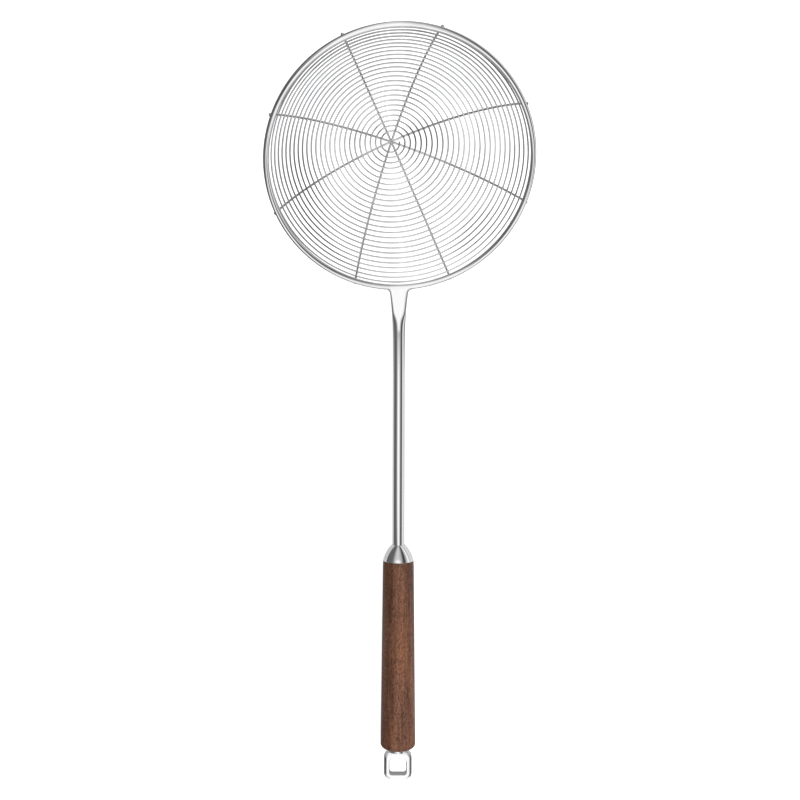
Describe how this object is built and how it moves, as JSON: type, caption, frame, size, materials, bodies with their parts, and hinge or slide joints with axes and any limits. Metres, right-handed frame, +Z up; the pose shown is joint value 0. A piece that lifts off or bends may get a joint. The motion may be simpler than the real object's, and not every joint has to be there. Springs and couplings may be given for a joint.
{
  "type": "spider skimmer",
  "caption": "Spider skimmer: round wire bowl wound in a spiral on cross wires, tubular steel stem, turned wooden grip and hanging loop, for lifting food out of hot oil or water.",
  "frame": {"origin": "on the table under the middle of the skimmer's box, as it lies on its back with the bowl open upwards", "axes": "+Z up, +Y along the handle towards the bowl, +X to the right seen from above with the bowl away from the viewer"},
  "size_m": [0.1648, 0.4588, 0.1012],
  "materials": {
    "rim_steel": "polished round stainless wire",
    "net_steel": "drawn stainless wire, slightly dull",
    "spoke_steel": "drawn stainless wire, slightly dull",
    "weld_steel": "welded steel, brushed over",
    "stem_steel": "polished stainless tube",
    "ferrule_steel": "polished stainless dome",
    "loop_steel": "satin polished casting",
    "inner_steel": "plain turned steel",
    "braze": "braze fillet",
    "walnut": "oiled walnut, straight fine grain"
  },
  "bodies": {
    "root": {"end_collar": "loop_steel", "ferrule": "ferrule_steel", "ferrule_braze": "braze", "hang_loop": "loop_steel", "neck_weld": "stem_steel", "rim_ring": "rim_steel", "spiral_end_weld": "weld_steel", "spiral_wire": "net_steel", "spoke_welds": "weld_steel", "spoke_wire_1": "spoke_steel", "spoke_wire_2": "spoke_steel", "spoke_wire_3": "spoke_steel", "spoke_wire_4": "spoke_steel", "stem_plug": "inner_steel", "stem_tube": "stem_steel", "tie_rod": "inner_steel", "wood_grip": "walnut"}
  },
  "joints": []
}
